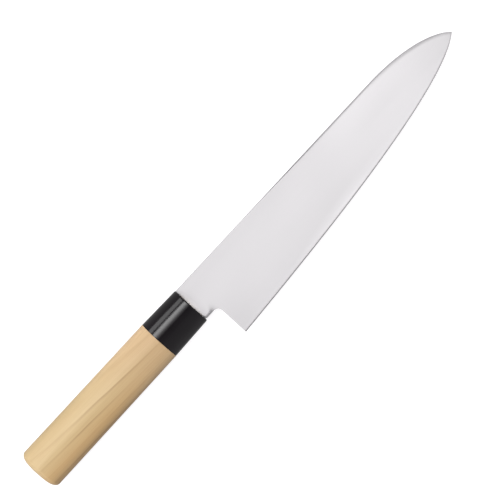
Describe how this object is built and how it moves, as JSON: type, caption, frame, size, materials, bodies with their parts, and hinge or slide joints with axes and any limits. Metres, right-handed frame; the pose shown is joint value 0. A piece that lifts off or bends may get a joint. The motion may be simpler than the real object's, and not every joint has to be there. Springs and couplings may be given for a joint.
{
  "type": "gyuto knife",
  "caption": "Japanese chef's knife with a thin convex-ground blade, a hidden tang, a black resin ferrule and a pale wooden handle of D section.",
  "frame": {"origin": "bottom centre of the bounding box, on the surface that the knife lies on", "axes": "+X from the butt to the tip, +Y from the edge to the spine, +Z out of the blade's right face; the knife lies on its left side"},
  "size_m": [0.3492, 0.0472, 0.0205],
  "materials": {
    "blade_steel": "satin ground stainless steel",
    "ferrule_resin": "polished black resin",
    "ho_wood": "sanded, unvarnished pale wood",
    "bedding_resin": "cured resin"
  },
  "bodies": {
    "root": {"blade": "blade_steel", "ferrule": "ferrule_resin", "handle": "ho_wood", "tang_adhesive": "bedding_resin"}
  },
  "joints": []
}
